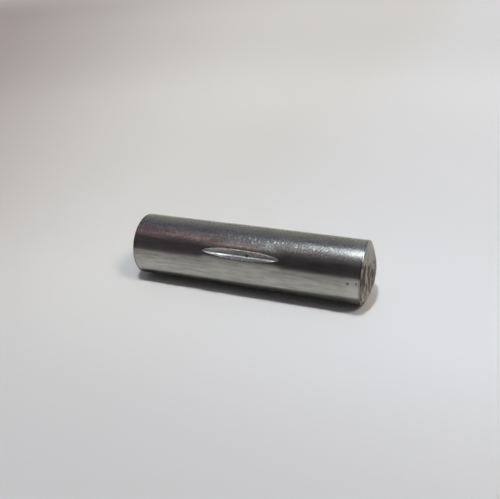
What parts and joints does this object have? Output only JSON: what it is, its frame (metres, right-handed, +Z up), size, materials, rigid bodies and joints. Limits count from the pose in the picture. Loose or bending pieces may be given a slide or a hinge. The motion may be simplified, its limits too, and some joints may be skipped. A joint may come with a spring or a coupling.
{
  "type": "groove pin",
  "caption": "Straight steel pin with crowned ends and long vee grooves pressed round its middle, whose raised lips grip the hole it is driven into.",
  "frame": {"origin": "middle of the pin on its axis, halfway between the two crowned ends", "axes": "+X along the pin, +Z up with one groove facing straight down, so that the pin lies on that groove's two lips"},
  "size_m": [0.024, 0.006, 0.0061],
  "materials": {
    "steel": "ground round the pin, dull on the cropped ends"
  },
  "bodies": {
    "root": {"groove_pin": "steel"}
  },
  "joints": []
}
